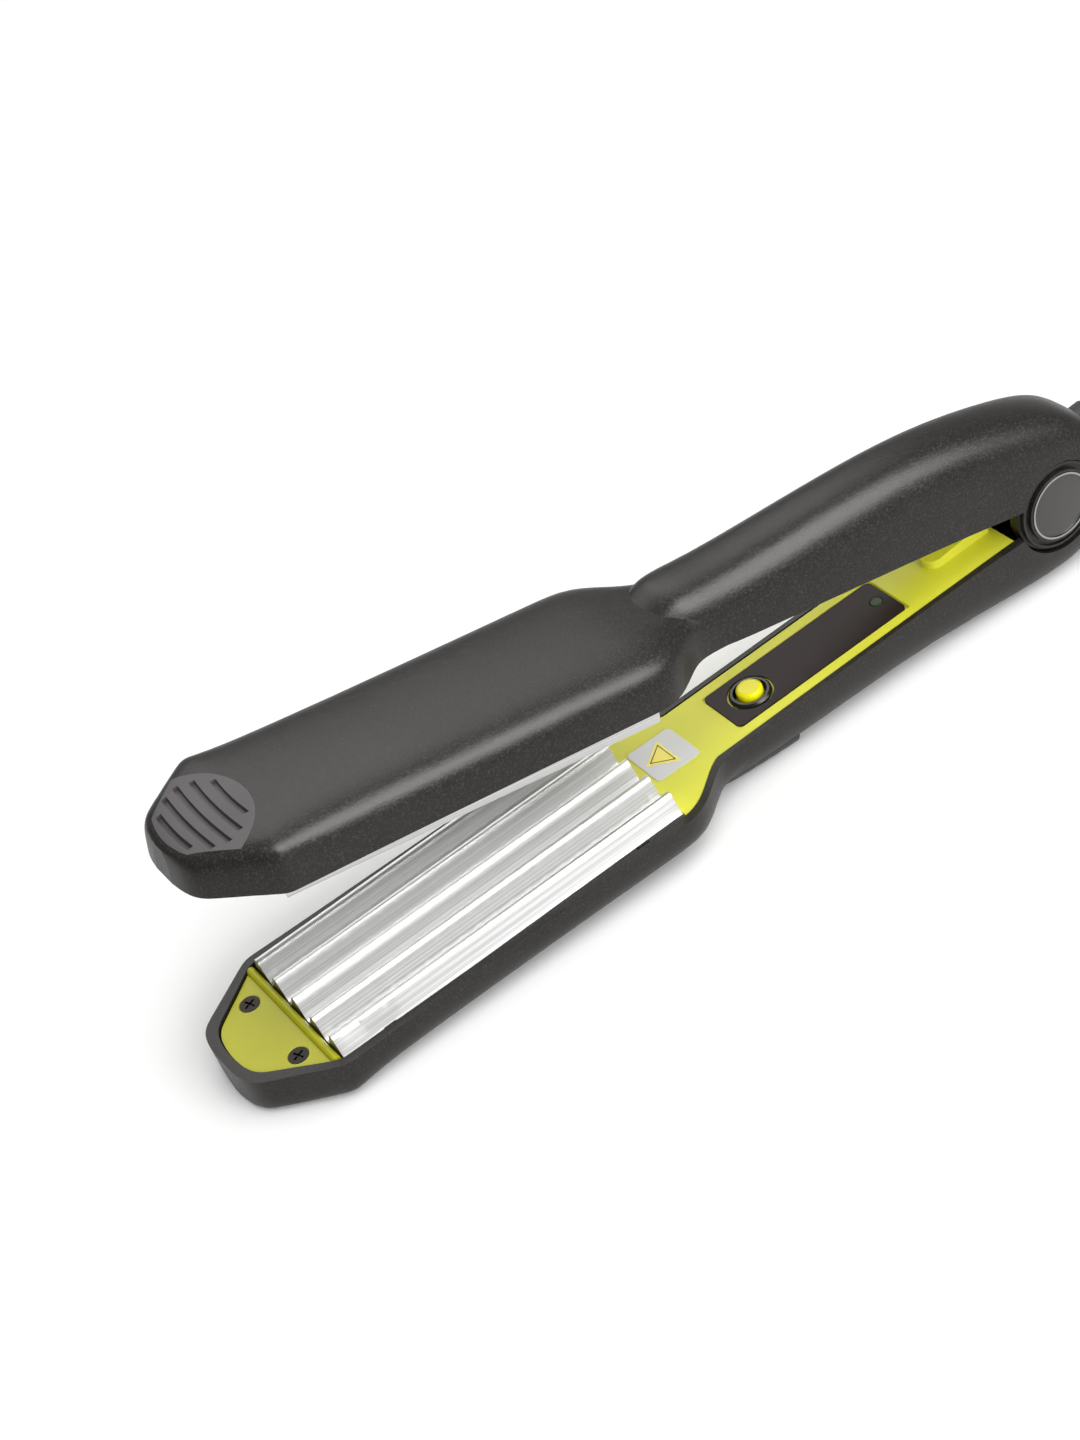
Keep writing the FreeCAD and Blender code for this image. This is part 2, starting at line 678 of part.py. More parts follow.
def neck_slot():
    """Cutter for the strain relief's neck, open at the top."""
    r = NECK_R + 0.1
    neck = rod(r, (12, 0, 0), (19, 0, 0))
    return relief_frame(neck.fuse(Part.makeBox(7, 2 * r, 12, V(12, -r, 0))))


def relief_clearance():
    """Room that the shells leave round the strain relief outside the rear wall."""
    return relief_frame(rod(8.8, (17.3, 0, 0), (60, 0, 0)))


def lower_shell():
    """The lower arm's shell: a tray with the hinge cheeks, bosses and the strain relief's seat."""
    body = arm_body(-1)
    tray = body.cut(arm_cavity(-1, WALL))
    solid = body.common(rear_wall())
    tray = tray.fuse([solid] + [body.common(c) for c in hinge_cheeks()])
    tray = tray.fuse([body.common(end_boss(-1, y)) for y in (-SCREW_Y, SCREW_Y)])
    d = LINER_SCREW_D
    z = -(rim_depth(d) + 2.0)
    tray = tray.fuse(body.common(rod(3.0, (-d, 0, z), (-d, 0, -15.0))))
    barrel = across(BARREL_R + 0.01, -BARREL_HALF, BARREL_HALF)
    tray = tray.cut(above_rim(-1).cut(barrel).cut(rear_wall()))
    for y in (EAR_IN - EAR_GAP, -EAR_IN + EAR_GAP):
        tray = tray.cut(across(POCKET_R, y, math.copysign(30, y)))
    tray = tray.cut(across(PIN_R + 0.06, -20, 20))
    for y in (-SCREW_Y, SCREW_Y):
        tray = tray.cut(rod(BOSS_BORE_R, (-SCREW_D, y, 0), (-SCREW_D, y, -12.0)))
    tray = tray.cut(rod(BOSS_BORE_R, (-d, 0, 0), (-d, 0, -12.2)))
    tray = tray.cut(pad_room(-1, PAD_FIT))
    tray = tray.cut(neck_slot()).cut(relief_clearance())
    for y in (-CLAMP_SCREW_Y, CLAMP_SCREW_Y):
        tray = tray.cut(rod(1.05, (CLAMP_SCREW_X, y, 3), (CLAMP_SCREW_X, y, -6.5)))
    return tray.cut(under_floor()).removeSplitter()


def upper_shell():
    """The upper arm's shell: a tray with the hinge ears, bosses and a slot that clears the cord."""
    body = arm_body(1)
    tray = body.cut(arm_cavity(1, WALL))
    tray = tray.fuse([body.common(end_boss(1, y)) for y in (-SCREW_Y, SCREW_Y)])
    d = LINER_SCREW_D
    z = rim_depth(d) + 2.0
    tray = tray.fuse(body.common(rod(3.0, (-d, 0, z), (-d, 0, 15.0))))
    tray = tray.cut(above_rim(1))
    slope = math.tan(math.radians(SWEEP_SLOT_ANGLE))
    x0, x1 = SWEEP_SLOT_X
    wedge = side_prism([(-x0, -5.0), (-x1, -5.0), (-x1, x1 * slope), (-x0, x0 * slope)], SWEEP_SLOT_HALF)
    tray = tray.cut(wedge)
    for y in (EAR_IN, -EAR_IN):
        tray = tray.fuse(across(EAR_R, y, math.copysign(EAR_OUT, y)))
        tray = tray.cut(across(CAP_R + 0.35, math.copysign(EAR_OUT, y), math.copysign(30, y)))
    tray = tray.cut(across(BARREL_R + 0.5, -EAR_IN, EAR_IN))
    tray = tray.cut(across(PIN_R, -20, 20))
    for y in (-SCREW_Y, SCREW_Y):
        tray = tray.cut(rod(BOSS_BORE_R, (-SCREW_D, y, 0), (-SCREW_D, y, 12.0)))
    tray = tray.cut(rod(BOSS_BORE_R, (-d, 0, 0), (-d, 0, 12.2)))
    return tray.cut(pad_room(1, PAD_FIT)).removeSplitter()


def hinge_cap(y_sign):
    """Cap over the hinge pin's end: a stepped body with a groove, a bright ring and a disc."""
    base, face, neck, top = [y_sign * (EAR_OUT + level) for level in CAP_LEVELS]
    beyond = top + y_sign
    seat = face - y_sign * CAP_SEAT
    body = across(CAP_R, base, face).fuse(across(CAP_NECK_R, face, neck))
    rim_groove = across(CAP_R - CAP_GROOVE, face - y_sign * CAP_GROOVE, neck)
    body = body.cut(rim_groove.cut(across(CAP_NECK_R, base, neck)))
    body = body.cut(across(CAP_RING_R + 0.05, seat, beyond))
    foot = seat + y_sign * 0.05
    ring = across(CAP_RING_R, foot, top).cut(across(CAP_DISC_R, base, beyond))
    dome = Part.makeSphere(CAP_DOME_R, V(0, top + y_sign * (0.25 - CAP_DOME_R), 0))
    disc = across(CAP_DISC_R - 0.05, foot, beyond).common(dome)
    return body, ring, disc


def hinge_washers():
    """Thin washers between the cheeks and the ears."""
    washers = []
    for side in (-1, 1):
        start = side * (BARREL_HALF + 0.02)
        washers.append(across(6.0, start, start + side * 0.4).cut(across(PIN_R + 0.1, -20, 20)))
    return washers


def hinge_spring():
    """Torsion spring round the pin that opens the arms, with a leg on each arm's side."""
    turns = Part.makeHelix(1.7, 6.8, COIL_R)
    wire = Part.Wire(turns.Edges)
    ring = Part.Wire(Part.makeCircle(WIRE_R, V(COIL_R, 0, 0), V(0, 1, 0)))
    coil = wire.makePipeShell([ring], True, True)
    coil.translate(V(0, 0, -3.4))
    coil.rotate(V(0, 0, 0), V(1, 0, 0), 90)
    lower_leg = rod(WIRE_R, (COIL_R, 3.4, 0), (COIL_R, 3.4, -16.0))
    upper_leg = rod(WIRE_R, (COIL_R, -3.4, 0), (COIL_R, -3.4, 13.0))
    return coil.fuse([lower_leg, upper_leg])


def strain_relief():
    """Tapered rubber sleeve with a flanged neck inside the shell."""
    flange = rod(6.6, (10.9, 0, 0), (12.9, 0, 0))
    neck = rod(NECK_R, (12.9, 0, 0), (17.6, 0, 0))
    base = rod(8.4, (17.6, 0, 0), (25.0, 0, 0))
    taper = Part.makeCone(7.4, 4.4, 33.0, V(25.0, 0, 0), V(1, 0, 0))
    sleeve = flange.fuse([neck, base, taper])
    for i in range(8):
        start = (28.0 + 3.6 * i, 0, 0)
        end = (29.3 + 3.6 * i, 0, 0)
        sleeve = sleeve.cut(rod(9, start, end).cut(rod(6.3 - 0.3 * i, start, end)))
    sleeve = sleeve.cut(rod(CORD_R + 0.02, (20.0, 0, 0), (60, 0, 0)))
    sleeve = sleeve.cut(rod(CORD_R - 0.6, (10.0, 0, 0), (21, 0, 0)))
    return relief_frame(sleeve.removeSplitter())


def cord_clamp():
    """Bridge that closes the neck's slot from above."""
    bridge = Part.makeBox(3.2, 19.0, 6.4, V(13.7, -9.5, 0.5))
    shoulders = [Part.makeBox(8, 5.0, 6, V(10, y, 2.6)) for y in (-11.0, 6.0)]
    bridge = bridge.cut(relief_frame(rod(NECK_R + 0.05, (10, 0, 0), (20, 0, 0))))
    x = CLAMP_SCREW_X
    holes = [rod(1.3, (x, y, -2), (x, y, 9)) for y in (-CLAMP_SCREW_Y, CLAMP_SCREW_Y)]
    for cutter in shoulders + holes:
        bridge = bridge.cut(cutter)
    return bridge


def clamp_screws():
    """The two slotted screws that hold the clamp."""
    screws = []
    for y in (-CLAMP_SCREW_Y, CLAMP_SCREW_Y):
        seat = V(CLAMP_SCREW_X, y, 2.65)
        head = Part.makeCylinder(1.55, 1.2, seat)
        shank = Part.makeCylinder(1.0, 8.0, seat, V(0, 0, -1))
        slot = Part.makeBox(3.2, 0.5, 0.6, seat + V(-1.6, -0.25, 0.75))
        screws.append(head.fuse(shank).cut(slot))
    return screws


def internal_leads():
    """Pair of mains leads from the strain relief past the hinge pin to the control board."""
    leads = []
    for y in (-1.1, 1.1):
        route = [V(x, y, z) for x, z in LEAD_ROUTE]
        runs = [rod(LEAD_R, a, b) for a, b in zip(route[:-1], route[1:])]
        bends = [Part.makeSphere(LEAD_R, point) for point in route[1:-1]]
        leads.append(runs[0].fuse(runs[1:] + bends))
    return leads


def control_board():
    """Control board with a chip and a relay on its outer side."""
    board = block(*BOARD, BOARD_BOTTOM, BOARD_TOP)
    chip = block(*CHIP, BOARD_BOTTOM - 2.0, BOARD_BOTTOM)
    relay = block(*RELAY, BOARD_BOTTOM - 3.8, BOARD_BOTTOM)
    return board.fuse([chip, relay]).removeSplitter()


def tact_switch():
    """Switch on the board under the button."""
    body = block(BUTTON_D + 3, BUTTON_D - 3, 3.0, BOARD_TOP + 0.02, -7.0)
    return body.fuse(rod(1.4, (-BUTTON_D, 0, -7.0), (-BUTTON_D, 0, -6.7)))


def led():
    """Lamp that stands on the board under its lens."""
    return rod(1.45, (-LED_D, 0, BOARD_TOP + 0.02), (-LED_D, 0, panel_floor() - 1.1))


def thermal_fuse():
    """Small can with a lead at each end."""
    body = rod(2.0, (-128.0, 8.0, -9.0), (-117.0, 8.0, -9.0))
    return body.fuse(rod(0.4, (-133.0, 8.0, -9.0), (-112.5, 8.0, -9.0)))


# ---- free cord: its route from the strain relief down to the surface and into the hank ----
CORD_ROUTE = [
    (163.1, 0.0, 27.06),
    (187.0, 0.0, 29.3),
    (209.0, -6.0, 21.5),
    (229.0, -15.5, 8.5),
    (248.0, -23.3, 3.6),
    (271.6, -25.3, 3.05),
]


def corner_arcs(route):
    """Straight runs joined by tangent arcs; prints each arc's radius."""
    points = [V(*p) for p in route]
    edges = []
    start = points[0]
    for before, corner, after in zip(points[:-2], points[1:-1], points[2:]):
        back = (before - corner).normalize()
        on = (after - corner).normalize()
        reach = 0.45 * min(before.distanceToPoint(corner), after.distanceToPoint(corner))
        half_turn = (math.pi - back.getAngle(on)) / 2
        radius = reach / math.tan(half_turn)
        print("cord arc radius", round(radius, 1))
        a = corner + back * reach
        b = corner + on * reach
        middle = (back + on).normalize()
        m = corner + middle * (radius / math.cos(half_turn) - radius)
        edges += [Part.makeLine(start, a), Part.Arc(a, m, b).toShape()]
        start = b
    edges.append(Part.makeLine(start, points[-1]))
    return Part.Wire(edges)


def cord_tube():
    """The cord's free length, from the strain relief into the hank."""
    wire = corner_arcs(CORD_ROUTE)
    direction = V(*CORD_ROUTE[1]) - V(*CORD_ROUTE[0])
    ring = Part.Wire(Part.makeCircle(CORD_R, V(*CORD_ROUTE[0]), direction))
    tube = wire.makePipeShell([ring], True, False, 2)
    print("cord volume ratio", round(tube.Volume / (math.pi * CORD_R ** 2 * wire.Length), 4))
    return tube


def hank_outline(half_width):
    """Closed curve round the hank, at a distance from its long axis and drawn in at the waist."""
    points = []
    for end in (1, -1):
        for i in range(8):
            turn = math.pi * (i / 8 - 0.5)
            reach = HANK_HALF_RUN + half_width * math.cos(turn)
            points.append(V(HANK_X + end * reach, end * half_width * math.sin(turn), 0))
        for i in range(8):
            along = 1 - i / 4
            drawn_in = HANK_WAIST * math.cos(math.pi * along / 2) ** 2
            points.append(V(HANK_X + end * HANK_HALF_RUN * along, end * (half_width - drawn_in), 0))
    curve = Part.BSplineCurve()
    curve.interpolate(points, PeriodicFlag=True)
    return Part.Face(Part.Wire(curve.toShape()))


def cord_hank():
    """Outer shape of the put-away length: a long ring that lies on the surface."""
    up = V(0, 0, HANK_HEIGHT)
    ring = hank_outline(HANK_OUTER).extrude(up).cut(hank_outline(HANK_INNER).extrude(up))
    level = [e for e in ring.Edges if e.Closed and e.BoundBox.ZLength < 0.01]
    return ring.makeFillet(HANK_ROUND, level)


def plug():
    """Two-pin mains plug that lies on the hank."""
    length, width, height = PLUG_SIZE
    middle = height / 2
    body = Part.makeBox(length, width, height, V(-length / 2, -width / 2, 0))
    body = body.makeFillet(4.0, body.Edges)
    tail = Part.makeCone(*PLUG_TAIL, V(length / 2 - 0.5, 0, middle), V(1, 0, 0))
    body = body.fuse(tail).removeSplitter()
    pins = []
    for y in (-PLUG_PIN_Y, PLUG_PIN_Y):
        root = V(-length / 2 + 0.02, y, middle)
        pins.append(Part.makeCylinder(PLUG_PIN_R, PLUG_PIN_LENGTH, root, V(-1, 0, 0)))
    lifted = [shape.translated(V(PLUG_X, 0, HANK_HEIGHT)) for shape in [body] + pins]
    return lifted[0].cut(Part.makeCompound(lifted[1:])), lifted[1:]


def put(shape, tilt):
    """Turns a shape of one arm about the hinge axis and puts it in the part's own frame."""
    placed = shape.copy()
    placed.rotate(V(0, 0, 0), V(0, 1, 0), tilt)
    return placed.translated(V(HINGE_X, 0, HINGE_Z))


def build():
    """Every node's shape, in the part's own frame."""
    lower = {
        "lower_shell": lower_shell(),
        "lower_liner": lower_liner(),
        "control_panel": control_panel(),
        "button_bezel": button_bezel(),
        "power_button": power_button(),
        "led_lens": led_lens(),
        "led": led(),
        "caution_label": caution_label(),
        "control_board": control_board(),
        "tact_switch": tact_switch(),
        "thermal_fuse": thermal_fuse(),
        "internal_leads": Part.makeCompound(internal_leads()),
        "strain_relief": strain_relief(),
        "cord_clamp": cord_clamp(),
        "clamp_screws": Part.makeCompound(clamp_screws()),
        "hinge_pin": across(PIN_R, -EAR_OUT, EAR_OUT),
        "hinge_spring": hinge_spring(),
        "hinge_washers": Part.makeCompound(hinge_washers()),
    }
    upper = {"upper_shell": upper_shell(), "upper_liner": liner(1)}
    for word, group, side in (("lower", lower, -1), ("upper", upper, 1)):
        group[word + "_crimp_plate"] = crimp_plate(side)
        group[word + "_plate_carrier"] = plate_carrier(side)
        group[word + "_heater"] = heater(side)
        group[word + "_insulator"] = insulator(side)
        group[word + "_heater_clip"] = heater_clip(side)
        group[word + "_thermistor"] = thermistor(side)
        group[word + "_end_plate"] = end_plate(side)
        group[word + "_end_screws"] = Part.makeCompound(end_screws(side))
        group[word + "_liner_screw"] = liner_screw(side)
        group[word + "_tip_pad"] = tip_pad(side)
    for word, y_sign in (("near", -1), ("far", 1)):
        body, ring, disc = hinge_cap(y_sign)
        upper["hinge_cap_" + word] = body
        upper["hinge_cap_ring_" + word] = ring
        upper["hinge_cap_disc_" + word] = disc
    nodes = {name: put(shape, LOWER_TILT) for name, shape in lower.items()}
    nodes.update({name: put(shape, LOWER_TILT + OPENING) for name, shape in upper.items()})
    plug_body, plug_pins = plug()
    nodes["cord"] = cord_tube()
    nodes["cord_hank"] = cord_hank()
    nodes["plug_body"] = plug_body
    nodes["plug_pins"] = Part.makeCompound(plug_pins)
    return nodes


os.makedirs("parts", exist_ok=True)
for name, shape in build().items():
    shape.exportStep("parts/" + name + ".step")
    box = shape.BoundBox
    print(name, len(shape.Solids), shape.isValid(), round(shape.Volume, 1),
          [round(v, 1) for v in (box.XMin, box.YMin, box.ZMin, box.XMax, box.YMax, box.ZMax)])
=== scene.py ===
import bpy
import math
from mathutils import Matrix, Vector


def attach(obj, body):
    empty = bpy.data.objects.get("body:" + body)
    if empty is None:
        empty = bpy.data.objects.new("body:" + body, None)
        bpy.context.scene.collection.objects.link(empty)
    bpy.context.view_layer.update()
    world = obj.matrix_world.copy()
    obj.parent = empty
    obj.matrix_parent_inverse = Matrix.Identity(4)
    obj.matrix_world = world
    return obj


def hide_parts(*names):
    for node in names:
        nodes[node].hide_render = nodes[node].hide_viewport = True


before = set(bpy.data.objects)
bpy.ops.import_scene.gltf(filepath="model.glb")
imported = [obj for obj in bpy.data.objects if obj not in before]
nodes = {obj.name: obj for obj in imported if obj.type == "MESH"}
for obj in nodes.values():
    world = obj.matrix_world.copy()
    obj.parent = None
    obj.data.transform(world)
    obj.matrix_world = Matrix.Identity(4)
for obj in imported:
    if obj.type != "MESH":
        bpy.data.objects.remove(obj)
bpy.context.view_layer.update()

MM = 0.001

# ---- arms: hinge axis and how far each arm's mid plane is turned about it ----
HINGE = Vector((0.1113, 0.0, 0.0223))
LOWER_TURN = math.radians(-2.25)
UPPER_TURN = math.radians(10.25)

# ---- cord, in millimetres: its route from the strain relief, as far as the hank ----
CORD_D = 6.0
CORD_ROUTE = [
    (163.1, 0.0, 27.06),
    (187.0, 0.0, 29.3),
    (209.0, -6.0, 21.5),
    (229.0, -15.5, 8.5),
    (248.0, -23.3, 3.6),
    (271.6, -25.3, 3.05),
]

# ---- hank, in millimetres: two straight sides drawn in at the waist, and two round ends ----
HANK_X = 310.0             # its middle
HANK_HALF_RUN = 38.4       # from its middle to the centre of each end's turns
HANK_WAIST = 8.0           # how far each side is drawn in at the middle
HANK_TURNS = 5.5
INNER_TURN = 18.7          # radius of the inner column's round ends
COLUMN_STEP = 6.6
LAYER_STEP = 6.1
TURN_PLACES = [(1, 0), (0, 0), (0, 1), (1, 1), (1, 2), (0, 2)]     # (column, layer) of each turn
SIDE_POINTS = 8            # control points along each side and round each end
SHIFT = 0.22               # share of a turn in which the cord moves over to its next place
SHIFT_LEAD = 0.3 * SHIFT   # how much less than a turn lies between two moves

# ---- cord from the hank to the plug that lies on it, in millimetres ----
PLUG_TAIL_X = 280.5
PLUG_Z = 25.5
CORD_IN_PLUG = 1.5
CORD_TAIL = [
    (338.0, 17.0, 16.6),
    (324.0, 12.5, 19.6),
    (310.0, 7.5, 22.8),
    (297.0, 2.5, 25.1),
    (288.0, 0.0, PLUG_Z),
    (PLUG_TAIL_X - CORD_IN_PLUG, 0.0, PLUG_Z),
]

# ---- tie round the hank's waist, in millimetres ----
TIE_HALF_WIDTH = 21.1
TIE_LOW = 0.05
TIE_HIGH = 19.1
TIE_LENGTH = 10.0
TIE_THICK = 0.6
TIE_CORNER = 4.0
CORNER_STEPS = 6

# ---- label: its triangle as (distance from the hinge, y), and heights over the arm's rim ----
LABEL_TRIANGLE = [(122.9, -0.2), (115.9, 5.2), (115.9, -5.2)]
TRIANGLE_LOW, TRIANGLE_HIGH = -0.03, 0.04
LINE_LOW, LINE_HIGH = 0.03, 0.05
LINE_OUTER, LINE_INNER = 0.76, 0.66     # sizes of the line's two edges, as shares of the triangle

# ---- lower arm's rim, under its mid plane: (distance from the hinge, depth) at both ends of the head ----
RIM_TIP = (250.0, 1.05)
RIM_REAR = (112.0, 3.45)

# ---- rounding of the moulded shells' sharp edges ----
EDGE_ROUND = 0.45 * MM
EDGE_ANGLE = math.radians(40)

# ---- sockets of a Mix node that mixes colours ----
MIX_FACTOR, MIX_FIRST, MIX_SECOND, MIX_RESULT = 0, 6, 7, 2

# ---- size of the patches in plastic and in the floor ----
PLASTIC_PATCH = 18.0 * MM
FLOOR_PATCH = 250.0 * MM


def smoothstep(t):
    """Goes smoothly from 0 to 1 as t does."""
    t = min(max(t, 0.0), 1.0)
    return t * t * (3.0 - 2.0 * t)


def arranged(name, data):
    """New object in the scene, made of the data."""
    obj = bpy.data.objects.new(name, data)
    bpy.context.scene.collection.objects.link(obj)
    return obj


def meshed(name, vertices, faces, material):
    """New mesh object of one material."""
    mesh = bpy.data.meshes.new(name)
    mesh.from_pydata(vertices, [], faces)
    mesh.materials.append(material)
    return arranged(name, mesh)


# ======================================================================
# materials
# ======================================================================

def new_material(name):
    """New material, with its node tree and its shader."""
    material = bpy.data.materials.new(name)
    material.use_nodes = True
    tree = material.node_tree
    return material, tree, tree.nodes["Principled BSDF"]


def object_coordinates(tree, drawn_out=1.0, turn=0.0):
    """Object coordinates, drawn out along the X axis of a frame turned about Y."""
    coords = tree.nodes.new("ShaderNodeTexCoord")
    mapping = tree.nodes.new("ShaderNodeMapping")
    mapping.vector_type = "TEXTURE"
    mapping.inputs["Rotation"].default_value = (0.0, turn, 0.0)
    mapping.inputs["Scale"].default_value = (drawn_out, 1.0, 1.0)
    tree.links.new(coords.outputs["Object"], mapping.inputs["Vector"])
    return mapping.outputs["Vector"]


def noise(tree, vector, size, detail=3.0, rough=0.55):
    """Noise with features about as wide as the size."""
    node = tree.nodes.new("ShaderNodeTexNoise")
    node.inputs["Scale"].default_value = 1.0 / size
    node.inputs["Detail"].default_value = detail
    node.inputs["Roughness"].default_value = rough
    tree.links.new(vector, node.inputs["Vector"])
    return node.outputs["Fac"]


def ranged(tree, value, low, high, start=0.3, end=0.7):
    """Maps a noise's usual range to low..high."""
    node = tree.nodes.new("ShaderNodeMapRange")
    node.inputs["From Min"].default_value = start
    node.inputs["From Max"].default_value = end
    node.inputs["To Min"].default_value = low
    node.inputs["To Max"].default_value = high
    tree.links.new(value, node.inputs["Value"])
    return node.outputs["Result"]


def mixed(tree, factor, first, second):
    """Mixes two colours, each given as a value or as a socket."""
    node = tree.nodes.new("ShaderNodeMix")
    node.data_type = "RGBA"
    tree.links.new(factor, node.inputs[MIX_FACTOR])
    for socket, colour in ((node.inputs[MIX_FIRST], first), (node.inputs[MIX_SECOND], second)):
        if isinstance(colour, tuple):
            socket.default_value = (*colour, 1.0)
        else:
            tree.links.new(colour, socket)
    return node.outputs[MIX_RESULT]


def bumped(tree, shader, height, strength, depth):
    """Gives the shader a relief of the given depth."""
    node = tree.nodes.new("ShaderNodeBump")
    node.inputs["Strength"].default_value = strength
    node.inputs["Distance"].default_value = depth
    tree.links.new(height, node.inputs["Height"])
    tree.links.new(node.outputs["Normal"], shader.inputs["Normal"])


def plastic(name, colour, patch, rough, grain, depth, specular, speck=None):
    """Moulded plastic: mottled colour in patches, fine grain in its height and gloss, and specks."""
    material, tree, shader = new_material(name)
    vector = object_coordinates(tree)
    broad = noise(tree, vector, PLASTIC_PATCH, 2.0)
    fine = noise(tree, vector, grain, 2.0, 0.6)
    base = mixed(tree, ranged(tree, broad, 0.0, 1.0), colour, patch)
    if speck:
        base = mixed(tree, ranged(tree, fine, 0.0, 1.0, 0.5, 0.75), base, speck)
    tree.links.new(base, shader.inputs["Base Color"])
    tree.links.new(ranged(tree, fine, rough[0], rough[1]), shader.inputs["Roughness"])
    shader.inputs["Specular IOR Level"].default_value = specular
    bumped(tree, shader, fine, 0.6, depth)
    return material


def metal(name, colour, rough, grain, depth, patch, drawn_out=1.0, turn=0.0):
    """Metal with fine marks, which can be drawn out along an arm."""
    material, tree, shader = new_material(name)
    marks = noise(tree, object_coordinates(tree, drawn_out, turn), grain, 3.0, 0.6)
    darker = tuple(c * patch for c in colour)
    tree.links.new(mixed(tree, ranged(tree, marks, 0.0, 1.0), darker, colour), shader.inputs["Base Color"])
    shader.inputs["Metallic"].default_value = 1.0
    tree.links.new(ranged(tree, marks, rough[0], rough[1]), shader.inputs["Roughness"])
    bumped(tree, shader, marks, 0.5, depth)
    return material


def brushed_aluminium(name, turn):
    """Aluminium with long fine lines along an arm that is turned about Y."""
    return metal(name, (0.66, 0.66, 0.655), (0.42, 0.52), 0.25 * MM, 0.0016 * MM, 0.60, 900.0, turn)


soft_touch = plastic("soft_touch_black", (0.0105, 0.0090, 0.0080), (0.0135, 0.0117, 0.0103), (0.30, 0.46),
                     0.50 * MM, 0.075 * MM, 0.22, (0.036, 0.033, 0.030))
lime = plastic("lime_plastic", (0.67, 0.665, 0.050), (0.72, 0.715, 0.062), (0.34, 0.44),
               0.8 * MM, 0.008 * MM, 0.20)
lime_satin = plastic("lime_satin", (0.42, 0.41, 0.008), (0.46, 0.45, 0.010), (0.30, 0.40),
                     0.5 * MM, 0.008 * MM, 0.18)
taupe = plastic("heat_pad_taupe", (0.078, 0.071, 0.073), (0.092, 0.084, 0.086), (0.62, 0.75),
                0.30 * MM, 0.030 * MM, 0.25)
panel_black = plastic("panel_brown_black", (0.020, 0.0125, 0.0140), (0.025, 0.016, 0.0175), (0.30, 0.38),
                      0.5 * MM, 0.0008 * MM, 0.08)
gloss_black = plastic("gloss_black", (0.008, 0.008, 0.008), (0.012, 0.011, 0.011), (0.20, 0.28),
                      0.8 * MM, 0.001 * MM, 0.20)
button_yellow = plastic("button_yellow", (0.90, 0.82, 0.006), (0.95, 0.88, 0.010), (0.26, 0.36),
                        0.4 * MM, 0.004 * MM, 0.22)
cap_grey = plastic("cap_dark_grey", (0.040, 0.038, 0.036), (0.050, 0.048, 0.046), (0.34, 0.44),
                   0.35 * MM, 0.015 * MM, 0.3)
rubber = plastic("cord_rubber", (0.012, 0.012, 0.0125), (0.017, 0.0165, 0.017), (0.46, 0.60),
                 0.5 * MM, 0.020 * MM, 0.4)
plug_black = plastic("plug_black", (0.013, 0.013, 0.0135), (0.019, 0.0185, 0.019), (0.34, 0.46),
                     0.4 * MM, 0.012 * MM, 0.45)
tie_black = plastic("tie_black", (0.020, 0.020, 0.021), (0.028, 0.027, 0.028), (0.55, 0.70),
                    0.6 * MM, 0.040 * MM, 0.3)
carrier_black = plastic("carrier_black", (0.012, 0.012, 0.012), (0.018, 0.017, 0.017), (0.45, 0.60),
                        0.5 * MM, 0.020 * MM, 0.4)
lens_green = plastic("lens_green", (0.020, 0.045, 0.022), (0.026, 0.058, 0.028), (0.16, 0.24),
                     0.8 * MM, 0.001 * MM, 0.08)
board_green = plastic("board_green", (0.012, 0.105, 0.040), (0.018, 0.135, 0.050), (0.30, 0.42),
                      1.5 * MM, 0.010 * MM, 0.5)
ceramic = plastic("ceramic_white", (0.72, 0.70, 0.66), (0.64, 0.61, 0.56), (0.50, 0.68),
                  0.4 * MM, 0.020 * MM, 0.4)
mica = plastic("mica_sheet", (0.48, 0.40, 0.28), (0.36, 0.28, 0.18), (0.28, 0.42),
               2.5 * MM, 0.020 * MM, 0.5)
label_silver = plastic("label_silver", (0.54, 0.54, 0.60), (0.58, 0.58, 0.64), (0.30, 0.40),
                       0.9 * MM, 0.002 * MM, 0.5)
warning_yellow = plastic("warning_yellow", (0.88, 0.74, 0.012), (0.84, 0.70, 0.010), (0.30, 0.40),
                         0.6 * MM, 0.002 * MM, 0.5)
brushed_lower = brushed_aluminium("brushed_lower", LOWER_TURN)
brushed_upper = brushed_aluminium("brushed_upper", UPPER_TURN)
polished_ring = metal("polished_ring", (0.30, 0.30, 0.31), (0.14, 0.22), 0.5 * MM, 0.001 * MM, 0.95)
dark_steel = metal("dark_steel", (0.020, 0.018, 0.016), (0.30, 0.42), 0.3 * MM, 0.004 * MM, 0.7)
bright_steel = metal("bright_steel", (0.62, 0.61, 0.60), (0.22, 0.34), 0.4 * MM, 0.003 * MM, 0.85)
pin_nickel = metal("pin_nickel", (0.72, 0.69, 0.63), (0.14, 0.24), 0.6 * MM, 0.001 * MM, 0.93)

